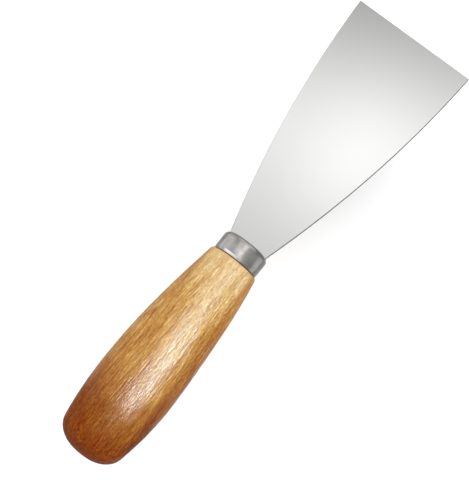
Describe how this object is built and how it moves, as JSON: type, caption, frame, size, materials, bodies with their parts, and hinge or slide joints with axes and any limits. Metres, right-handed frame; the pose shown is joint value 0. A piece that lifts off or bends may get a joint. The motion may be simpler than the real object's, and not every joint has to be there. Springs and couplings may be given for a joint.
{
  "type": "flexible putty knife",
  "caption": "Hand putty knife: thin flexible steel blade widening to a straight scraping edge, set through a rounded oval steel ferrule into a pear-shaped lacquered wooden handle.",
  "frame": {"origin": "middle of the straight scraping edge, at the middle of the blade's thickness", "axes": "+Y out of the scraping edge along the knife, +Z square to the blade's flat, +X to the right along the edge; the handle lies towards -Y"},
  "size_m": [0.05, 0.1912, 0.0218],
  "materials": {
    "blade_steel": "satin polished stainless spring steel",
    "ferrule_steel": "drawn mild steel, dull grey, lightly burnished",
    "handle_wood": "amber hardwood under glossy clear lacquer"
  },
  "bodies": {
    "handle": {"handle": "handle_wood", "ferrule": "ferrule_steel", "blade_tang": "blade_steel"},
    "blade": {"blade": "blade_steel"}
  },
  "joints": [
    {"name": "blade_flex", "type": "hinge", "parent": "handle", "child": "blade", "pos_m": [0, -0.1002, 0], "axis": [1, 0, 0], "range_deg": [-20, 20], "stiffness_Nm_per_rad": 1.6}
  ]
}
